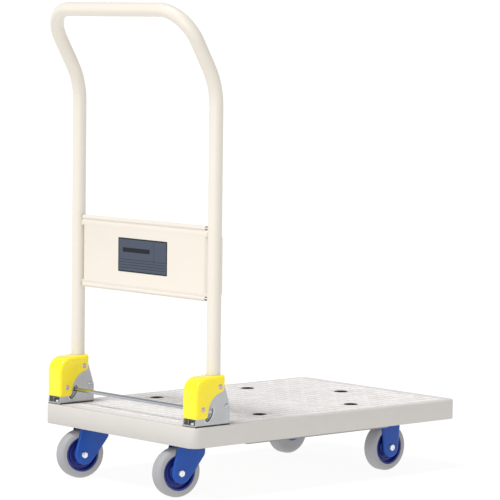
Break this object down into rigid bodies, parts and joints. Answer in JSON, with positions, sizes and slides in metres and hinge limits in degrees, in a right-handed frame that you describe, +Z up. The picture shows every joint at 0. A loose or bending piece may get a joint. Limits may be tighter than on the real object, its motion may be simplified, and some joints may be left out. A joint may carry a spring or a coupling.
{
  "type": "folding platform cart",
  "caption": "Flat-deck hand cart with a tubular push handle that folds down over the deck, a foot release bar, two fixed and two swivel casters.",
  "frame": {"origin": "centre of the bounding box on the floor, between the wheels", "axes": "+X forward, away from the handle; +Y to the left side; +Z up"},
  "size_m": [0.77, 0.48, 0.9828],
  "materials": {
    "deck_paint": "satin light grey powder coat",
    "tread": "fine embossed non-slip surface",
    "plug_rubber": "matt black",
    "frame_paint": "satin grey",
    "zinc": "zinc plated",
    "gasket_rubber": "matt black",
    "cover_plastic": "glossy yellow",
    "pin_steel": "bright steel",
    "nylon": "off-white nylon",
    "rod_chrome": "polished",
    "handle_paint": "satin cream powder coat",
    "label_print": "blank grey plate with a darker border",
    "fork_paint": "glossy blue",
    "axle_steel": "bright zinc",
    "tyre_rubber": "light grey elastic rubber",
    "core_plastic": "navy moulded plastic"
  },
  "bodies": {
    "platform": {"deck_shell": "deck_paint", "deck_tread": "tread", "deck_plugs": "plug_rubber", "deck_rails": "frame_paint", "cross_members": "frame_paint", "bracket_left": "zinc", "bracket_right": "zinc", "bracket_gaskets": "gasket_rubber", "bracket_bolts": "zinc", "bracket_nuts": "zinc", "cover_left": "cover_plastic", "cover_right": "cover_plastic", "fold_pins": "pin_steel", "lever_pins": "pin_steel", "stop_pins": "pin_steel", "fold_washers": "nylon", "lever_springs": "pin_steel", "fixed_fork_left": "fork_paint", "fixed_fork_right": "fork_paint", "swivel_plates": "fork_paint", "swivel_balls": "zinc", "kingpins": "zinc", "caster_bolts": "zinc", "caster_nuts": "zinc", "axle_bolts_front": "axle_steel", "axle_nuts_front": "axle_steel", "axle_sleeves_front": "axle_steel"},
    "handle": {"handle_tube": "handle_paint", "tube_feet": "zinc", "handle_panel": "handle_paint", "panel_rivets": "handle_paint", "label_plate": "label_print"},
    "release_bar": {"release_rod": "rod_chrome", "rod_clips": "zinc", "lock_lever_left": "zinc", "lock_lever_right": "zinc"},
    "caster_left": {"swivel_fork_left": "fork_paint", "axle_bolt_rear_left": "axle_steel", "axle_nut_rear_left": "axle_steel", "axle_sleeve_rear_left": "axle_steel"},
    "caster_right": {"swivel_fork_right": "fork_paint", "axle_bolt_rear_right": "axle_steel", "axle_nut_rear_right": "axle_steel", "axle_sleeve_rear_right": "axle_steel"},
    "wheel_front_left": {"tyre_front_left": "tyre_rubber", "core_front_left": "core_plastic", "bearings_front_left": "pin_steel"},
    "wheel_front_right": {"tyre_front_right": "tyre_rubber", "core_front_right": "core_plastic", "bearings_front_right": "pin_steel"},
    "wheel_rear_left": {"tyre_rear_left": "tyre_rubber", "core_rear_left": "core_plastic", "bearings_rear_left": "pin_steel"},
    "wheel_rear_right": {"tyre_rear_right": "tyre_rubber", "core_rear_right": "core_plastic", "bearings_rear_right": "pin_steel"}
  },
  "joints": [
    {"name": "handle_fold", "type": "hinge", "parent": "platform", "child": "handle", "pos_m": [-0.28425, 0, 0.227], "axis": [0, 1, 0], "range_deg": [0, 90]},
    {"name": "release_press", "type": "hinge", "parent": "platform", "child": "release_bar", "pos_m": [-0.32895, 0, 0.185], "axis": [0, 1, 0], "range_deg": [0, 36], "stiffness_Nm_per_rad": 0.8, "springref_deg": -34.38},
    {"name": "swivel_left", "type": "hinge", "parent": "platform", "child": "caster_left", "pos_m": [-0.29096, 0.1535, 0.12], "axis": [0, 0, 1], "continuous": true},
    {"name": "swivel_right", "type": "hinge", "parent": "platform", "child": "caster_right", "pos_m": [-0.29096, -0.1535, 0.12], "axis": [0, 0, 1], "continuous": true},
    {"name": "spin_rear_left", "type": "hinge", "parent": "caster_left", "child": "wheel_rear_left", "pos_m": [-0.32116, 0.16047, 0.05], "axis": [0.225, 0.9744, 0], "continuous": true},
    {"name": "spin_rear_right", "type": "hinge", "parent": "caster_right", "child": "wheel_rear_right", "pos_m": [-0.32149, -0.14812, 0.05], "axis": [0.1736, 0.9848, 0], "continuous": true},
    {"name": "spin_front_left", "type": "hinge", "parent": "platform", "child": "wheel_front_left", "pos_m": [0.25605, 0.153, 0.05], "axis": [0, 1, 0], "continuous": true},
    {"name": "spin_front_right", "type": "hinge", "parent": "platform", "child": "wheel_front_right", "pos_m": [0.25605, -0.153, 0.05], "axis": [0, 1, 0], "continuous": true}
  ]
}
